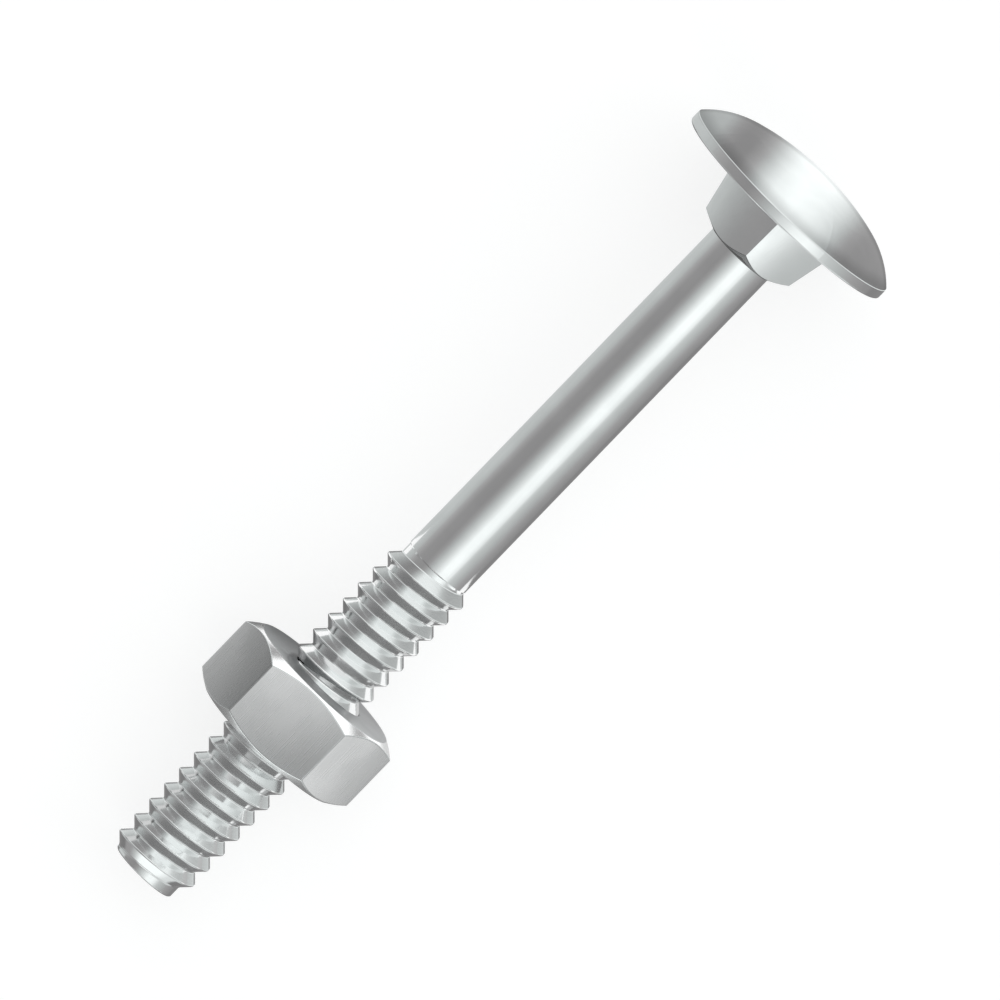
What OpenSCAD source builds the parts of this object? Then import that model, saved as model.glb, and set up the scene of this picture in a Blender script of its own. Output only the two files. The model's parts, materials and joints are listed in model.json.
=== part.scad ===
// Carriage bolt with a hexagon nut run onto its thread, lying on a flat surface as it comes to rest.
// The bolt is one forged piece: domed head, tapered square neck, plain shank and rolled thread.
// All lengths are in millimetres and all angles in degrees.
//
// Both pieces are modelled upright on the bolt's own axis, which is Z. Zero is the underside of the
// head: the dome is above it and the shank runs down. lay_down() then puts them on the surface,
// with the head towards +X, touching it at the rim of the head and at the lowest flat of the nut.

/* [Head] */
// Diameter of the domed head
head_d = 27.5; // [24:0.5:32]
// Height of the straight band round the edge of the head
band_h = 1.35; // [0.8:0.05:2.5]
// Height of the dome above the band
dome_h = 4.1; // [3.2:0.1:6]
// Radius of the dome over its middle
crown_r = 32; // [28:1:60]
// Share of the head's radius where the dome turns down to its rim
crown_share = 0.66; // [0.5:0.02:0.8]
// Break along the two edges of the band
edge_break = 0.15; // [0.05:0.05:0.4]

/* [Square neck] */
// Side of the neck where it meets the head
neck_w = 10.4; // [9.6:0.1:12]
// Side of the neck at its far end
neck_end_w = 8.3; // [8.2:0.1:9.2]
// Length of the neck
neck_len = 6.8; // [4:0.1:12]
// Slope of the cone that takes the corners off the end of the neck
neck_chamfer = 27; // [20:1:50]
// Turn of the neck's upper corner from straight up
neck_turn = 5; // [-45:1:45]

/* [Shank and thread] */
// Length from the underside of the head to the tip
bolt_len = 99.2; // [80:0.2:160]
// Diameter of the plain shank
shank_d = 8; // [7.9:0.05:8.1]
// Diameter over the crests of the thread
thread_d = 10; // [9:0.1:12]
// Diameter at the root of the thread
root_d = 7.8; // [7.2:0.05:7.9]
// Advance of the thread in one turn
thread_pitch = 2.31; // [1.5:0.01:3]
// Length of the threaded end, with the plain point
thread_len = 45.6; // [30:0.2:60]
// Width of the flat left along the crest of the thread
crest_w = 0.14; // [0.05:0.01:0.3]
// Width of the flat left along the root of the thread
root_w = 0.1; // [0.05:0.01:0.3]
// Share of a turn over which the ridge rises at each end of the thread
runout_share = 0.33; // [0.2:0.01:0.5]
// Where the ridge starts, as an angle round the axis from straight down
ridge_start = -40; // [-180:5:180]
// Facets round the thread
thread_sides = 32; // [24:4:48]
// Length of the plain round end beyond the thread
point_len = 0.2; // [0.1:0.05:2]

/* [Nut] */
// Distance across the flats of the nut
nut_af = 18.6; // [16:0.1:22]
// Height of the nut
nut_h = 9; // [6:0.1:12]
// Diameter of the round bearing face at each end of the nut
nut_face_d = 18; // [14.5:0.1:18.4]
// Slope of the cones that take the corners off the nut
nut_chamfer = 33; // [15:1:45]
// Gap between the crests of the thread and the plain bore that stands for the nut's thread
nut_gap = 0.1; // [0.05:0.01:0.3]
// Distance from the underside of the head to the nut
nut_pos = 71; // [58:0.1:80]

/* [Hidden] */
$fn = 96;

zinc = [0.78, 0.79, 0.79];

// How far a solid reaches into its neighbour where the two are joined
sink = 0.5;

// Head: the crown arc is centred on the axis, and the shoulder arc leaves it without a corner
// and comes down to the rim. Points are [radius, height].
head_r = head_d / 2;
rim_r = head_r - edge_break;
rim = [rim_r, band_h];
crown_c = [0, band_h + dome_h - crown_r];
turn_r = head_r * crown_share;
turn_angle = asin(turn_r / crown_r);
turn = crown_c + crown_r * [sin(turn_angle), cos(turn_angle)];
shoulder_r = pow(norm(rim - turn), 2) / (2 * (turn - rim) * (turn - crown_c) / crown_r);
shoulder_c = turn - shoulder_r * [sin(turn_angle), cos(turn_angle)];

// Neck: the chamfer cone leaves the shank at the end of the neck
shank_r = shank_d / 2;
neck_corner_r = neck_w / sqrt(2);

// Thread: the ridge is a row of four points across, repeated at each step round the helix. The
// height and the width of a row fade at both ends, so that the ridge grows out of the root.
root_r = root_d / 2;
ridge_h = (thread_d - root_d) / 2;
foot_half = (thread_pitch - root_w) / 2;
row = 4;
fade_steps = round(thread_sides * runout_share);
// Room along the axis between the end of the ridge's crest and the end of the threaded part
end_room = thread_pitch * max(0.05, 0.55 - runout_share);
point_z = -bolt_len + point_len;
shank_z = -bolt_len + thread_len;
ridge_z = point_z + end_room;
ridge_steps = floor((shank_z - ridge_z - end_room) / thread_pitch * thread_sides);
// The point is a hair smaller than the facets of the root
point_r = root_r * cos(180 / thread_sides) - 0.03;

// Nut
nut_flat_r = nut_af / 2;
nut_face_r = nut_face_d / 2;
nut_corner_r = nut_flat_r / cos(30);
nut_bore_r = thread_d / 2 + nut_gap;
// How far the chamfer comes down the middle of each flat
flat_inset = (nut_flat_r - nut_face_r) * tan(nut_chamfer);

// Resting place: the rim of the head and the tip's end of the nut's lowest flat touch the surface
rest_span = nut_pos + nut_h - flat_inset + edge_break;
tilt = atan((head_r - nut_flat_r) / rest_span);
lift = head_r * cos(tilt) - edge_break * sin(tilt);
x_high = crown_c[1] * cos(tilt) + crown_r;
x_low = -bolt_len * cos(tilt) - point_r * sin(tilt);
x_mid = (x_high + x_low) / 2;

// Share of the full ridge at a step
function ridge_share(i) = min(1, (i + 1) / (fade_steps + 1), (ridge_steps - i + 1) / (fade_steps + 1));

// A point at a step round the helix, at a radius and a height from the crest line
function helix_point(i, r, dz) =
    let (a = ridge_start + 360 * i / thread_sides)
    [r * cos(a), r * sin(a), ridge_z + thread_pitch * i / thread_sides + dz];

// The four points across the ridge: lower foot, lower and upper edge of the crest, upper foot
function ridge_row(i) =
    let (share = ridge_share(i), crest_r = root_r + ridge_h * share)
    [
        helix_point(i, root_r, -foot_half * share),
        helix_point(i, crest_r, -crest_w / 2 * share),
        helix_point(i, crest_r, crest_w / 2 * share),
        helix_point(i, root_r, foot_half * share)
    ];

// A ring of points round the root at a height, in line with the steps of the helix
function root_ring(z) = [
    for (j = [0 : thread_sides - 1])
        let (a = ridge_start + 360 * j / thread_sides)
        [root_r * cos(a), root_r * sin(a), z]
];

// Two triangles for the four corners of a patch: low, high, next high, next low
function patch(a, b, c, d) = [[a, b, c], [a, c, d]];

function low_foot(i) = row * i;
function high_foot(i) = row * i + row - 1;

// The threaded part of the bolt: a helical ridge standing on a round root, closed at both ends
module thread() {
    n = thread_sides;
    last = ridge_steps;
    low_ring = row * (last + 1);
    high_ring = low_ring + n;
    rows = [for (i = [0 : last]) each ridge_row(i)];
    ridge = [
        for (i = [0 : last - 1], k = [0 : row - 2])
            each patch(row * i + k, row * i + k + 1, row * (i + 1) + k + 1, row * (i + 1) + k)
    ];
    root = [
        for (i = [0 : last - n - 1])
            each patch(high_foot(i), low_foot(i + n), low_foot(i + n + 1), high_foot(i + 1))
    ];
    low_skirt = [
        for (i = [0 : n - 2])
            each patch(low_ring + i, low_foot(i), low_foot(i + 1), low_ring + i + 1)
    ];
    high_skirt = [
        for (i = [last - n + 1 : last - 1])
            each patch(high_foot(i), high_ring + i % n, high_ring + (i + 1) % n, high_foot(i + 1))
    ];
    // The facets beside the two ends of the ridge also take in the foot of its end face
    low_seam = [low_ring + n - 1, low_foot(n - 1), low_foot(n), high_foot(0), low_foot(0), low_ring];
    high_seam = [
        high_foot(last - n + 1), high_foot(last - n), low_foot(last), high_foot(last),
        high_ring + last % n, high_ring + (last + 1) % n
    ];
    low_end = [for (k = [row - 1 : -1 : 0]) k];
    high_end = [for (k = [0 : row - 1]) row * last + k];
    polyhedron(
        concat(rows, root_ring(point_z), root_ring(shank_z + sink)),
        concat(
            ridge, root, low_skirt, high_skirt, [low_seam, high_seam, low_end, high_end],
            [[for (j = [0 : n - 1]) low_ring + j]],
            [[for (j = [n - 1 : -1 : 0]) high_ring + j]]
        ),
        convexity = 10
    );
}

// Half of the section through the head, from its axis to its edge
module head_section() {
    polygon([
        [0, 0], [rim_r, 0], [head_r, edge_break], [head_r, band_h - edge_break], rim, [0, band_h]
    ]);
    intersection() {
        translate(crown_c) circle(crown_r);
        translate([0, band_h]) square([turn[0], dome_h]);
    }
    intersection() {
        translate(shoulder_c) circle(shoulder_r);
        translate([turn[0], band_h]) square([rim_r - turn[0], dome_h]);
    }
}

// A bar whose section is the side view of the neck
module neck_bar() {
    rotate([90, 0, 0])
        linear_extrude(2 * neck_w, center = true)
            polygon([
                [-neck_w / 2, sink], [neck_w / 2, sink], [neck_w / 2, 0],
                [neck_end_w / 2, -neck_len], [-neck_end_w / 2, -neck_len], [-neck_w / 2, 0]
            ]);
}

// The square neck: two bars crossed at right angles, with a cone at the end that cuts the corners
module neck() {
    cone_r = neck_corner_r + sink;
    cone_h = (cone_r - shank_r) * tan(neck_chamfer);
    rotate([0, 0, 45 + neck_turn])
        intersection() {
            neck_bar();
            rotate([0, 0, 90]) neck_bar();
            rotate_extrude()
                polygon([[0, -neck_len], [shank_r, -neck_len], [cone_r, cone_h - neck_len], [cone_r, 1], [0, 1]]);
        }
}

module shank() {
    translate([0, 0, shank_z]) cylinder(h = -shank_z + sink, r = shank_r);
}

module point() {
    translate([0, 0, -bolt_len]) cylinder(h = point_len + sink, r = point_r);
}

module upright_bolt() {
    rotate_extrude() head_section();
    neck();
    shank();
    thread();
    point();
}

// A hexagon bar cut by a turned envelope, which leaves the arcs on the flats, and bored through
module upright_nut() {
    cone_r = nut_corner_r + 1;
    cone_h = (cone_r - nut_face_r) * tan(nut_chamfer);
    translate([0, 0, -nut_pos - nut_h])
        difference() {
            intersection() {
                rotate([0, 0, 30]) cylinder(h = nut_h, r = nut_corner_r, $fn = 6);
                rotate_extrude()
                    polygon([
                        [0, 0], [nut_face_r, 0], [cone_r, cone_h],
                        [cone_r, nut_h - cone_h], [nut_face_r, nut_h], [0, nut_h]
                    ]);
            }
            translate([0, 0, -1]) cylinder(h = nut_h + 2, r = nut_bore_r);
        }
}

// Turns an upright piece on its side, head towards +X, and sets it down on the surface
module lay_down() {
    translate([-x_mid, 0, lift]) rotate([0, 90 - tilt, 0]) children();
}

module carriage_bolt() {
    color(zinc) lay_down() upright_bolt();
}

module hex_nut() {
    color(zinc) lay_down() upright_nut();
}

carriage_bolt();
hex_nut();
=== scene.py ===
# Carriage bolt and its nut, lying on a white table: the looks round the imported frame.
# Pieces are made upright on the bolt's own axis, in millimetres, and then laid down on the table.
import json
import math
import bmesh
import bpy
from mathutils import Matrix, Vector


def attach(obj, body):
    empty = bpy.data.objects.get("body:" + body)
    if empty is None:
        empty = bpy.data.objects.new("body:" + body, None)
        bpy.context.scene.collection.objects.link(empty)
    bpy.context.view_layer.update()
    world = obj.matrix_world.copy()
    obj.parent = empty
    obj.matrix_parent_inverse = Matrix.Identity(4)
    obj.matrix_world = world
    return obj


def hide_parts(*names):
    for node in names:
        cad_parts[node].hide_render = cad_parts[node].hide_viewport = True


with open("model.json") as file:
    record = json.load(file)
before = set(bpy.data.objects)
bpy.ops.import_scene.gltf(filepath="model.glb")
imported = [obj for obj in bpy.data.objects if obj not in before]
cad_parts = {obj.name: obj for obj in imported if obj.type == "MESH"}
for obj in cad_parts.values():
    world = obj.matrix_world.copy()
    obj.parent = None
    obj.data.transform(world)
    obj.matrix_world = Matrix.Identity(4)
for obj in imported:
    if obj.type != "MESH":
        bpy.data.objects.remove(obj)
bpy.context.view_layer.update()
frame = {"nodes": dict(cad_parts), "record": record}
print("frame loaded:", ", ".join(sorted(frame["nodes"])))

# The seat under the head gives the bolt's axis and the place of its zero, the head's underside
seat = next(m for m in frame["record"]["mounts"] if m["name"] == "head_seat")
boltAxis = -Vector(seat["axis"]).normalized()  # towards the head
boltTilt = math.atan2(boltAxis.z, boltAxis.x)
boltZero = Vector((seat["pos_m"][0], 0.0, seat["pos_m"][2]))
acrossBolt = Vector((0.0, 1.0, 0.0))
underBolt = acrossBolt.cross(boltAxis)
millimetre = 0.001
layDown = (
    Matrix.Translation(boltZero)
    @ Matrix((underBolt, acrossBolt, boltAxis)).transposed().to_4x4()
    @ Matrix.Scale(millimetre, 4)
)

columns = 144  # points round every ring, a multiple of the nut's six sides and the neck's four

thread = {
    "pitch": 2.31,
    "startAngle": -40.0,  # where the ridge begins, round from straight down
    "startHeight": -98.5,  # crest line there
    "turns": 19.19,
    "fadeAngle": 120.0,  # the ridge rises over this at both ends
    # One pitch from mid flank to mid flank: shares of the pitch along, and of the depth outward
    "section": [(-0.25, 0.5), (0.0, 1.0), (0.5, 0.0), (0.75, 0.5)],
    "crestRound": 0.16,
    "rootRound": 0.16,
    "roundSteps": 4,
    "spareTurns": 3,  # swept past both ends and cut off again
    "seam": 0.004,  # points nearer than this are one
    "cutNear": 0.0005,  # points this near to a cut lie on it
}


def polar(radius, angle, height):
    return Vector((radius * math.cos(angle), radius * math.sin(angle), height))


def angleOf(point):
    return math.atan2(point.y, point.x)


def smoothStep(x):
    x = min(1.0, max(0.0, x))
    return x * x * (3.0 - 2.0 * x)


def growRing(bm, ring, place):
    # Extrudes an open ring and puts each new point where place() says for its angle
    made = bmesh.ops.extrude_edge_only(bm, edges=ring)["geom"]
    points = {e for e in made if isinstance(e, bmesh.types.BMVert)}
    for v in points:
        v.co = place(angleOf(v.co))
    return [e for e in made if isinstance(e, bmesh.types.BMEdge) and set(e.verts) <= points]


def sweepThread(bm, rootRadius, crestRadius, lowPlane, highPlane):
    # The V section of one pitch, rounded at crest and root and swept up the helix
    pitch = thread["pitch"]
    depth = crestRadius - rootRadius
    sweepTurns = math.ceil(thread["turns"]) + 2 * thread["spareTurns"]
    start = math.radians(thread["startAngle"])
    base = thread["startHeight"] - thread["spareTurns"] * pitch
    points = [
        bm.verts.new(polar(rootRadius + depth * outward, start, base + pitch * along))
        for along, outward in thread["section"]
    ]
    for a, b in zip(points, points[1:]):
        bm.edges.new((a, b))
    for point, width in ((points[1], thread["crestRound"]), (points[2], thread["rootRound"])):
        bmesh.ops.bevel(
            bm, geom=[point], affect="VERTICES", offset=width, offset_type="OFFSET",
            segments=thread["roundSteps"], profile=0.5, material=-1,
        )
    bmesh.ops.spin(
        bm, geom=bm.verts[:] + bm.edges[:], cent=(0, 0, 0), axis=(0, 0, 1),
        dvec=(0, 0, pitch / columns), angle=2 * math.pi, steps=columns,
        use_merge=False, use_normal_flip=False, use_duplicate=False,
    )
    oneTurn = bm.verts[:] + bm.edges[:] + bm.faces[:]
    for turn in range(1, sweepTurns):
        copied = bmesh.ops.duplicate(bm, geom=oneTurn)["geom"]
        points = [v for v in copied if isinstance(v, bmesh.types.BMVert)]
        bmesh.ops.translate(bm, vec=(0, 0, pitch * turn), verts=points)
    bmesh.ops.remove_doubles(bm, verts=bm.verts[:], dist=thread["seam"])
    # The ridge grows out of the root at both ends
    for v in bm.verts:
        radius = math.hypot(v.co.x, v.co.y)
        turned = math.degrees(angleOf(v.co)) - thread["startAngle"]
        turn = round((v.co.z - thread["startHeight"]) / pitch - turned / 360.0)
        turned += 360.0 * turn
        left = 360.0 * thread["turns"] - turned
        share = smoothStep(turned / thread["fadeAngle"]) * smoothStep(left / thread["fadeAngle"])
        if crestRadius > rootRadius and share < 1.0:
            v.co = polar(rootRadius + (radius - rootRadius) * share, angleOf(v.co), v.co.z)
    loops = []
    for height, outward in ((lowPlane, -1), (highPlane, 1)):
        cut = bmesh.ops.bisect_plane(
            bm, geom=bm.verts[:] + bm.edges[:] + bm.faces[:], dist=thread["cutNear"],
            plane_co=(0, 0, height), plane_no=(0, 0, outward), clear_outer=True,
        )["geom_cut"]
        loops.append([e for e in cut if isinstance(e, bmesh.types.BMEdge)])
    return loops


def addPiece(name, bm):
    mesh = bpy.data.meshes.new(name)
    bm.to_mesh(mesh)
    bm.free()
    piece = bpy.data.objects.new(name, mesh)
    bpy.context.scene.collection.objects.link(piece)
    return piece


def finishPiece(name, bm, body, node):
    bmesh.ops.recalc_face_normals(bm, faces=bm.faces[:])
    # A point's normal leans towards its largest faces, so that flats stay flat beside rounded edges
    turned = layDown.to_3x3()
    normals = []
    for v in bm.verts:
        leaning = Vector()
        for face in v.link_faces:
            leaning += face.calc_area() * face.normal
        normals.append((turned @ leaning).normalized())
    bmesh.ops.transform(bm, matrix=layDown, verts=bm.verts[:])
    for face in bm.faces:
        face.smooth = True
    piece = addPiece(name, bm)
    piece.data.normals_split_custom_set_from_vertices(normals)
    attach(piece, body)
    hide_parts(node)
    print(name, len(piece.data.vertices), "points")
    return piece


# Bolt
bolt = {
    "length": 99.2,
    "tipBreak": 0.12,
    "threadRadius": 5.0,
    "rootRadius": 3.9,
    "threadLength": 45.6,
    "shankRadius": 4.0,
    "shankRise": 0.1,  # the thread's root widens to the shank over this height
    "neckWidth": 10.4,
    "neckEndWidth": 8.3,
    "neckLength": 6.8,
    "neckChamfer": 27.0,
    "neckTurn": 5.0,
    "neckCrown": 0.1,  # the forged faces stand this much proud in the middle
    "neckRound": 0.16,
    "roundSteps": 3,
    "neckFillet": 0.3,
    "filletSteps": 3,
    "coneNear": 0.03,  # faces whose middle is this near to the neck's cone belong to it
    "headRadius": 13.75,
    "bandHeight": 1.35,
    "domeHeight": 4.1,
    "crownRadius": 32.0,
    "crownShare": 0.66,
    "rimRound": 0.2,
    "rimStop": 43.0,  # the round hands over to the shoulder of the dome at this slope
    "rimSteps": 5,
    "shoulderRings": 14,
    "crownRings": 30,
    "poleRadius": 0.01,  # the last ring, before it closes to the top of the dome
}


def neckTurned(angle):
    # Angle from the middle of the neck's nearest face
    corner = math.pi / 2
    return (angle - math.radians(bolt["neckTurn"])) % corner - corner / 2


def neckStretch(angle):
    # How much further the neck's outline lies in this direction than along its faces
    return 1.0 / math.cos(neckTurned(angle))


def neckPoint(angle, height, grown=0.0):
    taper = (bolt["neckWidth"] - bolt["neckEndWidth"]) / bolt["neckLength"]
    half = (bolt["neckWidth"] + taper * height) / 2 + grown
    crown = bolt["neckCrown"] * (1 - math.tan(neckTurned(angle)) ** 2)
    return polar((half + crown) * neckStretch(angle), angle, height)


def neckArc(angle):
    # Where the cone at the end of the neck meets its faces
    slope = math.tan(math.radians(bolt["neckChamfer"]))
    taper = (bolt["neckWidth"] - bolt["neckEndWidth"]) / bolt["neckLength"] / 2
    stretch = neckStretch(angle)
    crown = bolt["neckCrown"] * (1 - math.tan(neckTurned(angle)) ** 2)
    faceRadius = bolt["neckEndWidth"] / 2 + crown - taper * slope * bolt["shankRadius"]
    radius = stretch * faceRadius / (1 - taper * slope * stretch)
    return polar(radius, angle, (radius - bolt["shankRadius"]) * slope - bolt["neckLength"])


def headSection():
    # Radius and height of each ring from the underside, round the band, up to the top of the dome
    top = bolt["bandHeight"] + bolt["domeHeight"]
    crown = Vector((0.0, top - bolt["crownRadius"]))
    turnAngle = math.asin(bolt["headRadius"] * bolt["crownShare"] / bolt["crownRadius"])
    outward = Vector((math.sin(turnAngle), math.cos(turnAngle)))
    turn = crown + bolt["crownRadius"] * outward
    rimRound = bolt["rimRound"]
    inner = bolt["headRadius"] - rimRound
    rimStop = math.radians(bolt["rimStop"])
    upper = bolt["bandHeight"] - rimRound
    rim = Vector((inner + rimRound * math.cos(rimStop), upper + rimRound * math.sin(rimStop)))
    shoulderRadius = (rim - turn).length_squared / (2 * (turn - rim).dot(outward))
    shoulder = turn - shoulderRadius * outward
    rimAngle = math.atan2(rim.x - shoulder.x, rim.y - shoulder.y)
    section = []
    for middle, first, last in ((rimRound, -math.pi / 2, 0.0), (upper, 0.0, rimStop)):
        for step in range(bolt["rimSteps"] + 1):
            a = first + (last - first) * step / bolt["rimSteps"]
            radius = inner + rimRound * math.cos(a)
            section.append(Vector((radius, middle + rimRound * math.sin(a))))
    for i in range(1, bolt["shoulderRings"] + 1):
        a = rimAngle + (turnAngle - rimAngle) * i / bolt["shoulderRings"]
        section.append(shoulder + shoulderRadius * Vector((math.sin(a), math.cos(a))))
    for i in range(1, bolt["crownRings"]):
        a = turnAngle * (1 - i / bolt["crownRings"])
        section.append(crown + bolt["crownRadius"] * Vector((math.sin(a), math.cos(a))))
    return section, top


def makeBolt():
    bm = bmesh.new()
    tipPlane = bolt["tipBreak"] - bolt["length"]
    shoulderPlane = bolt["threadLength"] - bolt["length"]
    tip, ring = sweepThread(bm, bolt["rootRadius"], bolt["threadRadius"], tipPlane, shoulderPlane)
    # Up from the thread: shank, cone at the end of the neck, neck, underside, band, dome
    shankRadius = bolt["shankRadius"]
    ring = growRing(bm, ring, lambda a: polar(shankRadius, a, shoulderPlane + bolt["shankRise"]))
    ring = growRing(bm, ring, lambda a: polar(shankRadius, a, -bolt["neckLength"]))
    ring = growRing(bm, ring, neckArc)
    neckEdges = list(ring)
    fillet = bolt["neckFillet"]
    ring = growRing(bm, ring, lambda a: neckPoint(a, -fillet))
    # The long edges run up from the arcs at the four corners, where the outline stretches most
    squareCorner = math.sqrt(2) - 1e-4
    neckEdges += [
        e for v in dict.fromkeys(v for e in ring for v in e.verts) for e in v.link_edges
        if neckStretch(angleOf(v.co)) > squareCorner and e not in ring
    ]
    for step in range(1, bolt["filletSteps"] + 1):
        turned = math.radians(90.0 * step / bolt["filletSteps"])
        grown = fillet * (1 - math.cos(turned))
        height = -fillet * (1 - math.sin(turned))
        ring = growRing(bm, ring, lambda a: neckPoint(a, height, grown))
    section, top = headSection()
    for radius, height in section:
        ring = growRing(bm, ring, lambda a: polar(radius, a, height))
    ring = growRing(bm, ring, lambda a: polar(bolt["poleRadius"], a, top))
    pole = list(dict.fromkeys(v for e in ring for v in e.verts))
    bmesh.ops.pointmerge(bm, verts=pole, merge_co=(0, 0, top))
    # Down from the thread: the broken edge of the tip and its flat end
    breakWidth = bolt["tipBreak"]
    tip = growRing(bm, tip, lambda a: polar(bolt["rootRadius"] - breakWidth, a, -bolt["length"]))
    bmesh.ops.contextual_create(bm, geom=tip)
    bmesh.ops.bevel(
        bm, geom=neckEdges, affect="EDGES", offset=bolt["neckRound"], offset_type="OFFSET",
        segments=bolt["roundSteps"], profile=0.5, material=-1, clamp_overlap=True,
    )
    # The cone at the end of the neck takes a far darker copy of the bolt's zinc: painted shade
    slope = math.tan(math.radians(bolt["neckChamfer"]))
    for face in bm.faces:
        middle = face.calc_center_median()
        outward = math.hypot(middle.x, middle.y) - shankRadius
        offCone = abs(middle.z + bolt["neckLength"] - outward * slope)
        if outward > 0.02 and offCone < bolt["coneNear"]:
            face.material_index = 1
    return finishPiece("boltSteel", bm, "bolt", "carriage_bolt")


# Nut
nut = {
    "acrossFlats": 18.6,
    "height": 9.0,
    "position": 71.0,
    "faceRadius": 9.0,
    "chamfer": 33.0,
    "edgeRound": 0.12,
    "roundSteps": 3,
    "faceNear": 0.02,  # a face whose middle is this near to a chamfer or an end belongs to it
    "threadRadius": 5.09,
    "rootRadius": 4.03,
}


def nutReach(angle):
    side = math.pi / 3
    turned = (angle + side / 2) % side - side / 2
    return nut["acrossFlats"] / 2 / math.cos(turned)


def makeNut():
    bm = bmesh.new()
    headFace = -nut["position"]
    tipFace = headFace - nut["height"]
    bores = sweepThread(bm, nut["rootRadius"], nut["threadRadius"], tipFace, headFace)
    slope = math.tan(math.radians(nut["chamfer"]))
    faceRadius = nut["faceRadius"]
    first = bmesh.ops.create_circle(
        bm, cap_ends=False, radius=faceRadius, segments=columns,
        matrix=Matrix.Translation((0, 0, tipFace)),
    )["verts"]
    tipCircle = list(dict.fromkeys(e for v in first for e in v.link_edges))
    tipArcs = growRing(
        bm, tipCircle, lambda a: polar(nutReach(a), a, tipFace + (nutReach(a) - faceRadius) * slope)
    )
    headArcs = growRing(
        bm, tipArcs, lambda a: polar(nutReach(a), a, headFace - (nutReach(a) - faceRadius) * slope)
    )
    headCircle = growRing(bm, headArcs, lambda a: polar(faceRadius, a, headFace))
    for bore, circle in zip(bores, (tipCircle, headCircle)):
        bmesh.ops.triangle_fill(bm, edges=bore + circle, use_beauty=True)
    # The six long edges are those that join the two rings of arcs at a corner
    arcPoints = dict.fromkeys(v for e in tipArcs + headArcs for v in e.verts)
    cornerReach = nutReach(math.pi / 6) - 1e-3
    longEdge = nut["height"] / 4
    sides = [
        e for v in arcPoints for e in v.link_edges
        if all(end in arcPoints for end in e.verts) and nutReach(angleOf(v.co)) > cornerReach
        and abs(e.verts[0].co.z - e.verts[1].co.z) > longEdge
    ]
    edges = list(dict.fromkeys(sides + tipArcs + headArcs + tipCircle + headCircle))
    bmesh.ops.bevel(
        bm, geom=edges, affect="EDGES", offset=nut["edgeRound"], offset_type="OFFSET",
        segments=nut["roundSteps"], profile=0.5, material=-1, clamp_overlap=True,
    )
    # Flats, then the chamfers and the face towards the tip, then the seat on the head's side
    # Each takes its own tone of the one zinc: painted shade on flats and seat, painted highlight on
    # chamfers
    for face in bm.faces:
        middle = face.calc_center_median()
        radius = math.hypot(middle.x, middle.y)
        inward = min(headFace - middle.z, middle.z - tipFace)
        if headFace - middle.z < nut["faceNear"] and radius < faceRadius:
            face.material_index = 2
        elif inward < max(0.0, radius - faceRadius) * slope + nut["faceNear"]:
            face.material_index = 1
    return finishPiece("nutSteel", bm, "nut", "hex_nut")


boltPiece = makeBolt()
nutPiece = makeNut()


# Zinc plate
zinc = {
    "bolt": {"bright": (0.80, 0.81, 0.81), "dull": (0.76, 0.77, 0.77), "roughness": (0.1, 0.15)},
    # Painted shade: the neck's cone, the bolt's zinc made far darker
    "forged": {"bright": (0.25, 0.25, 0.25), "dull": (0.22, 0.22, 0.22), "roughness": (0.3, 0.38)},
    # Painted shade: the nut's flats, its zinc made darker
    "flats": {"bright": (0.60, 0.61, 0.61), "dull": (0.55, 0.56, 0.56), "roughness": (0.24, 0.3)},
    # Painted highlight: the nut's chamfers and tip face, its zinc made brighter
    "chamfer": {"bright": (0.90, 0.91, 0.91), "dull": (0.84, 0.85, 0.85), "roughness": (0.2, 0.28)},
    # Painted shade: the nut's seat, its zinc made darkest
    "seat": {"bright": (0.46, 0.465, 0.47), "dull": (0.41, 0.415, 0.42), "roughness": (0.3, 0.38)},
    "boltGrain": 0.08,
    "nutGrain": 0.12,
    "patchSize": 0.006,
    "patchNoise": {"Detail": 3.0, "Roughness": 0.55},
    "grainWidth": 0.00012,
    "grainLength": 0.004,
    "grainNoise": {"Detail": 2.0},
    "speckSize": 0.00035,
    "speckNoise": {"Detail": 2.0, "Roughness": 0.6},
    "reliefDepth": 0.00001,
    "cloudSpan": (0.35, 0.65),  # noise values between which bright turns to dull
    "shineSpan": (0.7, 1.3),  # and smooth to rough
}


def addNode(tree, kind, inputs=None, **settings):
    node = tree.nodes.new(kind)
    for name, value in settings.items():
        setattr(node, name, value)
    for key, value in (inputs or {}).items():
        if isinstance(value, bpy.types.NodeSocket):
            tree.links.new(value, node.inputs[key])
        else:
            node.inputs[key].default_value = value
    return node


def addMath(tree, operation, first, second):
    return addNode(tree, "ShaderNodeMath", {0: first, 1: second}, operation=operation).outputs[0]


def addMix(tree, share, first, second):
    # By number, because a Mix node has a Factor, an A, a B and a Result for every kind of value
    inputs = {0: share, 6: first, 7: second}
    return addNode(tree, "ShaderNodeMix", inputs, data_type="RGBA").outputs[2]


def addMask(tree, value, low, high):
    return addNode(
        tree, "ShaderNodeMapRange", {"Value": value, "From Min": low, "From Max": high},
        interpolation_type="SMOOTHSTEP",
    ).outputs["Result"]


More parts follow.
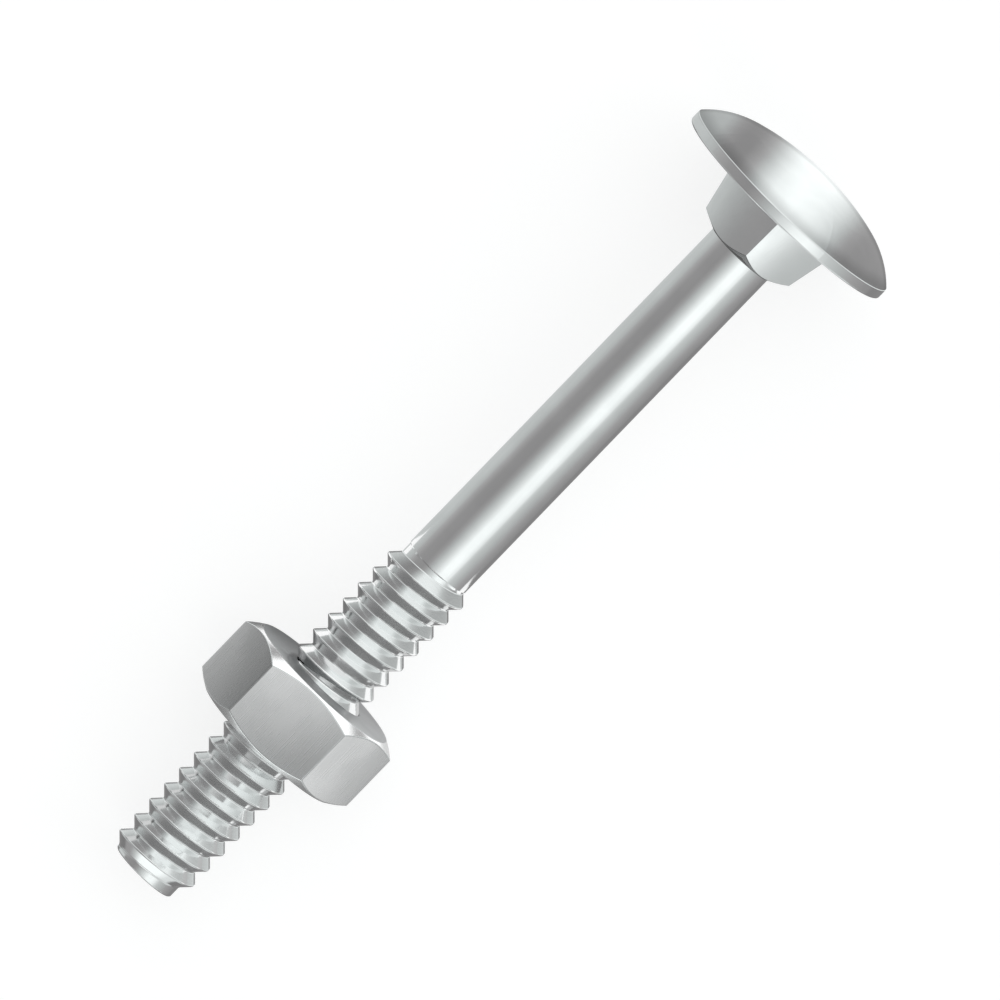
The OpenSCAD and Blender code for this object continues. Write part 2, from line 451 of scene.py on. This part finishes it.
def makePlateGroup():
    # Cloudy zinc, drawn grain along the bolt and a fine speck, all in the pieces' own coordinates
    group = bpy.data.node_groups.new("zincPlate", "ShaderNodeTree")
    for name, kind in (
        ("Bright", "NodeSocketColor"), ("Dull", "NodeSocketColor"), ("Smooth", "NodeSocketFloat"),
        ("Rough", "NodeSocketFloat"), ("Grain", "NodeSocketFloat"),
    ):
        group.interface.new_socket(name=name, in_out="INPUT", socket_type=kind)
    for name, kind in (
        ("Color", "NodeSocketColor"), ("Roughness", "NodeSocketFloat"),
        ("Normal", "NodeSocketVector"),
    ):
        group.interface.new_socket(name=name, in_out="OUTPUT", socket_type=kind)
    given = group.nodes.new("NodeGroupInput")
    result = group.nodes.new("NodeGroupOutput")
    place = addNode(group, "ShaderNodeTexCoord").outputs["Object"]
    turned = addNode(
        group, "ShaderNodeMapping", {"Vector": place, "Rotation": (0.0, boltTilt, 0.0)}
    ).outputs["Vector"]
    patches = addNode(group, "ShaderNodeTexNoise", {
        "Vector": turned, "Scale": 1 / zinc["patchSize"], **zinc["patchNoise"],
    }).outputs["Fac"]
    stretched = addNode(group, "ShaderNodeVectorMath", {
        0: turned, 1: (1 / zinc["grainLength"], 1 / zinc["grainWidth"], 1 / zinc["grainWidth"]),
    }, operation="MULTIPLY").outputs["Vector"]
    grain = addNode(
        group, "ShaderNodeTexNoise", {"Vector": stretched, "Scale": 1.0, **zinc["grainNoise"]}
    ).outputs["Fac"]
    specks = addNode(group, "ShaderNodeTexNoise", {
        "Vector": turned, "Scale": 1 / zinc["speckSize"], **zinc["speckNoise"],
    }).outputs["Fac"]
    cloud = addMask(group, patches, *zinc["cloudSpan"])
    colour = addMix(group, cloud, given.outputs["Bright"], given.outputs["Dull"])
    group.links.new(colour, result.inputs["Color"])
    shine = addNode(group, "ShaderNodeMapRange", {
        "Value": addMath(group, "ADD", patches, grain),
        "From Min": zinc["shineSpan"][0], "From Max": zinc["shineSpan"][1],
        "To Min": given.outputs["Smooth"], "To Max": given.outputs["Rough"],
    }).outputs["Result"]
    group.links.new(shine, result.inputs["Roughness"])
    bump = addNode(group, "ShaderNodeBump", {
        "Height": addMath(group, "ADD", grain, specks), "Strength": given.outputs["Grain"],
        "Distance": zinc["reliefDepth"],
    }).outputs["Normal"]
    group.links.new(bump, result.inputs["Normal"])
    return group


def makeZinc(name, look, grain):
    material = bpy.data.materials.new(name)
    material.use_nodes = True
    tree = material.node_tree
    shader = tree.nodes["Principled BSDF"]
    shader.inputs["Metallic"].default_value = 1.0
    plate = addNode(tree, "ShaderNodeGroup", node_tree=plateGroup)
    plate.inputs["Bright"].default_value = (*look["bright"], 1.0)
    plate.inputs["Dull"].default_value = (*look["dull"], 1.0)
    plate.inputs["Smooth"].default_value, plate.inputs["Rough"].default_value = look["roughness"]
    plate.inputs["Grain"].default_value = grain
    for output in ("Color", "Roughness", "Normal"):
        target = "Base Color" if output == "Color" else output
        tree.links.new(plate.outputs[output], shader.inputs[target])
    return material


plateGroup = makePlateGroup()
# In the order of the pieces' material indexes
for name in ("bolt", "forged"):
    boltPiece.data.materials.append(makeZinc(name + "Zinc", zinc[name], zinc["boltGrain"]))
for name in ("flats", "chamfer", "seat"):
    nutPiece.data.materials.append(makeZinc(name + "Zinc", zinc[name], zinc["nutGrain"]))
print("zinc finishes:", len(boltPiece.data.materials) + len(nutPiece.data.materials))

# Table
table = {"size": 3.0, "matt": (0.4, 0.4, 0.4), "glow": 0.73}
bm = bmesh.new()
bmesh.ops.create_grid(bm, x_segments=1, y_segments=1, size=table["size"])
floor = addPiece("table", bm)
floor.visible_glossy = False
floorPaint = bpy.data.materials.new("tablePaint")
floorPaint.use_nodes = True
tree = floorPaint.node_tree
tree.nodes.remove(tree.nodes["Principled BSDF"])
ray = addNode(tree, "ShaderNodeLightPath").outputs
seen = addMath(tree, "MAXIMUM", ray["Is Camera Ray"], ray["Is Glossy Ray"])
seen = addMath(tree, "MAXIMUM", seen, ray["Is Transmission Ray"])
glow = addMath(tree, "MULTIPLY", seen, table["glow"])
matt = addNode(tree, "ShaderNodeBsdfDiffuse", {"Color": (*table["matt"], 1.0)}).outputs[0]
white = addNode(tree, "ShaderNodeEmission", {"Strength": glow}).outputs[0]
both = addNode(tree, "ShaderNodeAddShader", {0: matt, 1: white}).outputs[0]
tree.links.new(both, tree.nodes["Material Output"].inputs["Surface"])
floor.data.materials.append(floorPaint)
print("table laid")

# Camera
view = {
    "lens": 1200.0,
    "sensor": 36.0,
    "pictureWidth": 1000.0,  # in pixels
    "pixelsPerMetre": 9400.0,
    "fromAxis": 81.8,  # between the bolt's axis and the line to the camera, on the head's side
    "axisOnPicture": 45.96,  # the axis rises to the upper right at this angle
    "midHeight": -43.73,  # point of the bolt's axis level with the middle of the picture
    "axisOffset": 0.2,  # the axis passes this far below and right of the middle
}
upBolt = -underBolt
fromAxis = math.radians(view["fromAxis"])
toCamera = math.cos(fromAxis) * boltAxis + math.sin(fromAxis) * upBolt
along = (math.sin(fromAxis) * boltAxis - math.cos(fromAxis) * upBolt).normalized()
across = -acrossBolt
tilt = math.radians(view["axisOnPicture"])
cameraRight = math.cos(tilt) * along + math.sin(tilt) * across
cameraUp = math.sin(tilt) * along - math.cos(tilt) * across
target = boltZero + millimetre * (view["midHeight"] * boltAxis - view["axisOffset"] * across)
fieldWidth = view["pictureWidth"] / view["pixelsPerMetre"]
distance = view["lens"] / view["sensor"] * fieldWidth
cameraData = bpy.data.cameras.new("camera")
cameraData.lens = view["lens"]
cameraData.sensor_width = view["sensor"]
cameraData.clip_start = 0.1
cameraData.clip_end = 10.0
camera = bpy.data.objects.new("camera", cameraData)
camera.matrix_world = Matrix.Translation(target + distance * toCamera) @ Matrix(
    (cameraRight, cameraUp, toCamera)
).transposed().to_4x4()
bpy.context.scene.collection.objects.link(camera)
bpy.context.scene.camera = camera
print("camera:", round(distance, 2), "m away")

# Light
# The studio is painted by the way that a face looks when it mirrors it to the camera: "shank" for
# faces along the bolt, "thread" for flanks that face the head, "neck" for the tapered faces and
# "dome" for the top of the head. Each row is a place and a brightness there.
studio = {
    "strength": 1.6,
    "cool": (0.965, 1.0, 0.995),
    "warm": (1.0, 0.985, 0.99),
    "coolFrom": 0.45,  # brighter than this is cool
    # Degrees from straight up, positive to the lower right of the picture
    "shank": [
        (-90, 0.67), (-57, 0.66), (-49, 0.6), (-40, 0.44), (-32, 0.35), (-18, 0.33), (-12, 0.4),
        (-6, 0.56), (0, 0.76), (6, 1.02), (11, 1.26), (20, 1.27), (25, 1.08), (31, 0.7), (40, 0.56),
        (49, 0.42), (60, 0.34), (90, 0.32),
    ],
    "thread": [
        (-90, 0.9), (-66, 0.85), (-52, 0.55), (-36, 0.38), (-24, 0.4), (-17, 0.7), (-10, 1.3),
        (19, 1.3), (26, 0.9), (38, 0.78), (90, 0.78),
    ],
    "neck": [
        (-90, 0.8), (-43, 0.78), (-41, 0.48), (-39.5, 0.34), (20, 0.34), (45, 1.4), (48.2, 1.3),
        (49.6, 0.74), (51, 0.6), (90, 0.58),
    ],
    # Millimetres across the dome, positive to the lower right
    "dome": [
        (-13.5, 0.54), (-10.8, 0.54), (-9.4, 0.36), (-8.4, 0.31), (-7.0, 0.31), (-5.5, 0.45),
        (-4.4, 0.69), (-3.4, 0.95), (-2.2, 1.18), (0, 1.3), (2.4, 1.22), (4.0, 1.02), (5.1, 0.84),
        (6.2, 0.6), (7.2, 0.42), (8.4, 0.35), (13.5, 0.34),
    ],
    "flank": 0.28,
    "tip": 0.24,
    "edge": 1.0,
    "rim": 0.8,
    "domeDim": 0.62,  # share of the dome's light that is left at its rim
    # The dome's outer arc has this radius, round a middle this far from the axis
    "shoulderRadius": 10.37,
    "shoulderMiddle": 6.14,
    "sideReach": 90,  # degrees of every row but the dome's
}
# Where the parts of the studio begin and end, as shares of a direction of length one. Ahead is
# towards the head, and look is how far the face that mirrors a part looks ahead. Two values are
# where a part starts and where it is whole; three are its two ends and its softness.
zones = {
    "threadAhead": (0.14, 0.16),
    "flankAhead": (-0.07, 0.16, 0.02),
    "neckLook": (-0.22, -0.08, 0.03),
    "neckAbove": (0.6, 0.4),
    "lowAbove": (-0.6, -0.68),
    "lowAhead": (-0.64, 0.17, 0.03),
    "gapAhead": (-0.21, -0.07, 0.02),
    "gapLeft": (-0.02, 0.02),
    "edgeLook": (0.3, 0.66, 0.06),
    "domeLook": (0.67, 0.69),
    "domeFade": (0.69, 0.8),
    "rimAbove": (-0.955, -0.985),
    "rimAhead": (0.2, 0.1),
    "rimLook": (0.5, 0.7),
    "tipAhead": (-0.42, -0.5),
    "tipAbove": (-0.62, 0.5, 0.1),
}


def grey(value):
    tint = studio["cool"] if value > studio["coolFrom"] else studio["warm"]
    level = value / studio["strength"]
    return (level * tint[0], level * tint[1], level * tint[2], 1.0)


def addRamp(tree, place, reach, stops):
    share = addNode(
        tree, "ShaderNodeMapRange", {"Value": place, "From Min": -reach, "From Max": reach}
    ).outputs["Result"]
    ramp = addNode(tree, "ShaderNodeValToRGB", {"Fac": share})
    ramp.color_ramp.interpolation = "LINEAR"
    elements = ramp.color_ramp.elements  # a new ramp has two
    for i, (stop, value) in enumerate(stops):
        position = (stop / reach + 1) / 2
        element = elements[i] if i < 2 else elements.new(position)
        element.position = position
        element.color = grey(value)
    return ramp.outputs["Color"]


def addBand(tree, value, low, high, soft):
    rise = addMask(tree, value, low, low + soft)
    fall = addMask(tree, value, high, high - soft)
    return addMath(tree, "MULTIPLY", rise, fall)


def addScale(tree, colour, share):
    return addNode(
        tree, "ShaderNodeVectorMath", {0: colour, "Scale": share}, operation="SCALE"
    ).outputs["Vector"]


world = bpy.data.worlds.new("studio")
bpy.context.scene.world = world
world.use_nodes = True
tree = world.node_tree
place = addNode(tree, "ShaderNodeTexCoord").outputs["Generated"]
turned = addNode(
    tree, "ShaderNodeMapping", {"Vector": place, "Rotation": (0.0, boltTilt, 0.0)}
).outputs["Vector"]
ahead, left, above = addNode(tree, "ShaderNodeSeparateXYZ", {"Vector": turned}).outputs
# The way a face looks if it mirrors this part of the studio to the camera
between = addNode(tree, "ShaderNodeVectorMath", {
    0: turned, 1: (math.cos(fromAxis), 0.0, math.sin(fromAxis)),
}, operation="ADD").outputs["Vector"]
looking = addNode(
    tree, "ShaderNodeVectorMath", {0: between}, operation="NORMALIZE"
).outputs["Vector"]
lookAhead, lookLeft, lookUp = addNode(tree, "ShaderNodeSeparateXYZ", {"Vector": looking}).outputs
lookRight = addMath(tree, "MULTIPLY", lookLeft, -1.0)
sideways = addMath(tree, "DEGREES", addMath(tree, "ARCTAN2", lookRight, lookUp), 0.0)
steepness = addMath(tree, "SUBTRACT", 1.0, addMath(tree, "POWER", lookAhead, 2.0))
steepness = addMath(tree, "SQRT", steepness, 0.0)
domeRadius = addMath(tree, "DIVIDE", studio["shoulderMiddle"], steepness)
domeRadius = addMath(tree, "ADD", domeRadius, studio["shoulderRadius"])
domeRadius = addMath(tree, "MINIMUM", domeRadius, bolt["crownRadius"])
acrossDome = addMath(tree, "MULTIPLY", lookRight, domeRadius)
dome = addRamp(tree, acrossDome, bolt["headRadius"], studio["dome"])
fading = addNode(tree, "ShaderNodeMapRange", {
    "Value": lookAhead, "From Min": zones["domeFade"][0], "From Max": zones["domeFade"][1],
    "To Min": studio["domeDim"], "To Max": 1.0,
}).outputs["Result"]
dome = addScale(tree, dome, fading)
light = addRamp(tree, sideways, studio["sideReach"], studio["shank"])
stripes = addRamp(tree, sideways, studio["sideReach"], studio["thread"])
light = addMix(tree, addMask(tree, ahead, *zones["threadAhead"]), light, stripes)
light = addMix(tree, addBand(tree, ahead, *zones["flankAhead"]), light, grey(studio["flank"]))
neck = addBand(tree, lookAhead, *zones["neckLook"])
neck = addMath(tree, "MULTIPLY", neck, addMask(tree, above, *zones["neckAbove"]))
neckStripes = addRamp(tree, sideways, studio["sideReach"], studio["neck"])
light = addMix(tree, neck, light, neckStripes)
# Low down, where the flanks look at the bolt's sides, with a gap on the left for the shank
low = addMask(tree, above, *zones["lowAbove"])
low = addMath(tree, "MULTIPLY", low, addBand(tree, ahead, *zones["lowAhead"]))
gap = addBand(tree, ahead, *zones["gapAhead"])
gap = addMath(tree, "MULTIPLY", gap, addMask(tree, left, *zones["gapLeft"]))
low = addMath(tree, "MULTIPLY", low, addMath(tree, "SUBTRACT", 1.0, gap))
light = addMix(tree, low, light, grey(studio["flank"]))
light = addMix(tree, addBand(tree, lookAhead, *zones["edgeLook"]), light, grey(studio["edge"]))
light = addMix(tree, addMask(tree, lookAhead, *zones["domeLook"]), light, dome)
# A little darker straight below, so that the outline of the dome shows against the white
rim = addMask(tree, above, *zones["rimAbove"])
rim = addMath(tree, "MULTIPLY", rim, addMask(tree, ahead, *zones["rimAhead"]))
rim = addMath(tree, "MULTIPLY", rim, addMask(tree, lookAhead, *zones["rimLook"]))
shade = addNode(tree, "ShaderNodeMapRange", {"Value": rim, "To Min": 1.0, "To Max": studio["rim"]})
light = addScale(tree, light, shade.outputs["Result"])
# Beyond the tip, the stripes that the flanks see in the nut's face go on
right = addMath(tree, "MULTIPLY", left, -1.0)
behind = addMath(tree, "MULTIPLY", ahead, -1.0)
turnedBehind = addMath(tree, "DEGREES", addMath(tree, "ARCTAN2", right, behind), 0.0)
beyondTip = addRamp(tree, turnedBehind, studio["sideReach"], studio["thread"])
tip = addMix(tree, addBand(tree, above, *zones["tipAbove"]), grey(studio["tip"]), beyondTip)
light = addMix(tree, addMask(tree, ahead, *zones["tipAhead"]), light, tip)
background = tree.nodes["Background"]
tree.links.new(light, background.inputs["Color"])
background.inputs["Strength"].default_value = studio["strength"]
print("studio painted:", len(tree.nodes), "nodes")

# Cards that only the metal mirrors, all by the nut: on the table beside its flats, its chamfer and
# its seat, over its top flat, and upright before the chamfer's top. Each has its middle, its half
# width along, across and up, the side that shines, and its light. Where the light changes, it has
# two brightnesses, with the way in which it changes and where on that way it starts and ends.
cardBack = 0.25  # brightness of every card from behind
cards = {
    "leftCard": {
        "middle": (-0.0335, 0.045, 0.0002), "half": (0.009, 0.029, 0.0), "facing": (0.0, 0.0, 1.0),
        "way": (0.0, 1.0, 0.0), "span": (-0.02, -0.007), "light": (0.8, 0.16),
    },
    "rightCard": {
        "middle": (-0.0335, -0.045, 0.0002), "half": (0.009, 0.029, 0.0), "facing": (0.0, 0.0, 1.0),
        "way": (0.0, -1.0, 0.0), "span": (-0.017, -0.007), "light": (0.6, 1.4),
    },
    "leftRim": {
        "middle": (-0.0133, 0.0183, 0.0002), "half": (0.006, 0.0077, 0.0),
        "facing": (0.0, 0.0, 1.0), "light": 1.2,
    },
    "rightRim": {
        "middle": (-0.0133, -0.0183, 0.0002), "half": (0.006, 0.0077, 0.0),
        "facing": (0.0, 0.0, 1.0), "light": 1.2,
    },
    "topCard": {
        "middle": (-0.0303, 0.0, 0.031), "half": (0.0068, 0.0095, 0.0), "facing": (0.0, 0.0, -1.0),
        "way": (0.8, 0.6, 0.0), "span": (-0.006, 0.006), "light": (0.5, 1.15),
    },
    "seatCard": {
        "middle": (-0.0222, 0.0, 0.0002), "half": (0.0028, 0.014, 0.0), "facing": (0.0, 0.0, 1.0),
        "way": (0.0, 1.0, 0.0), "span": (-0.008, 0.008), "light": (0.7, 0.2),
    },
    "faceCard": {
        "middle": (-0.0205, 0.0, 0.018), "half": (0.0, 0.0095, 0.0026), "facing": (-1.0, 0.0, 0.0),
        "light": 1.3,
    },
}
for name, card in cards.items():
    bm = bmesh.new()
    middle = Vector(card["middle"])
    wide, deep, tall = card["half"]
    reach = Vector((wide, 0.0, 0.0)) if wide else Vector((0.0, 0.0, tall))
    side = Vector((0.0, deep, 0.0))
    points = [
        bm.verts.new(middle + place)
        for place in (-reach - side, reach - side, reach + side, side - reach)
    ]
    faces = bmesh.ops.contextual_create(bm, geom=points)["faces"]
    bm.normal_update()
    if faces[0].normal.dot(card["facing"]) < 0:
        bmesh.ops.reverse_faces(bm, faces=faces)
    sheet = addPiece(name, bm)
    sheet.visible_camera = False
    sheet.visible_diffuse = False
    sheet.visible_shadow = False
    paper = bpy.data.materials.new(name + "Paper")
    paper.use_nodes = True
    tree = paper.node_tree
    tree.nodes.remove(tree.nodes["Principled BSDF"])
    level = card["light"]
    if "way" in card:
        place = addNode(tree, "ShaderNodeTexCoord").outputs["Object"]
        fromMiddle = addNode(
            tree, "ShaderNodeVectorMath", {0: place, 1: card["middle"]}, operation="SUBTRACT"
        ).outputs["Vector"]
        onWay = addNode(
            tree, "ShaderNodeVectorMath", {0: fromMiddle, 1: card["way"]}, operation="DOT_PRODUCT"
        ).outputs["Value"]
        level = addNode(tree, "ShaderNodeMapRange", {
            "Value": onWay, "From Min": card["span"][0], "From Max": card["span"][1],
            "To Min": card["light"][0], "To Max": card["light"][1],
        }).outputs["Result"]
    behind = addNode(tree, "ShaderNodeNewGeometry").outputs["Backfacing"]
    level = addNode(tree, "ShaderNodeMapRange", {
        "Value": behind, "To Min": level, "To Max": cardBack,
    }).outputs["Result"]
    shining = addNode(tree, "ShaderNodeEmission", {"Strength": level}).outputs[0]
    tree.links.new(shining, tree.nodes["Material Output"].inputs["Surface"])
    sheet.data.materials.append(paper)
print("cards:", ", ".join(cards))

bpy.context.scene.view_settings.view_transform = "Standard"
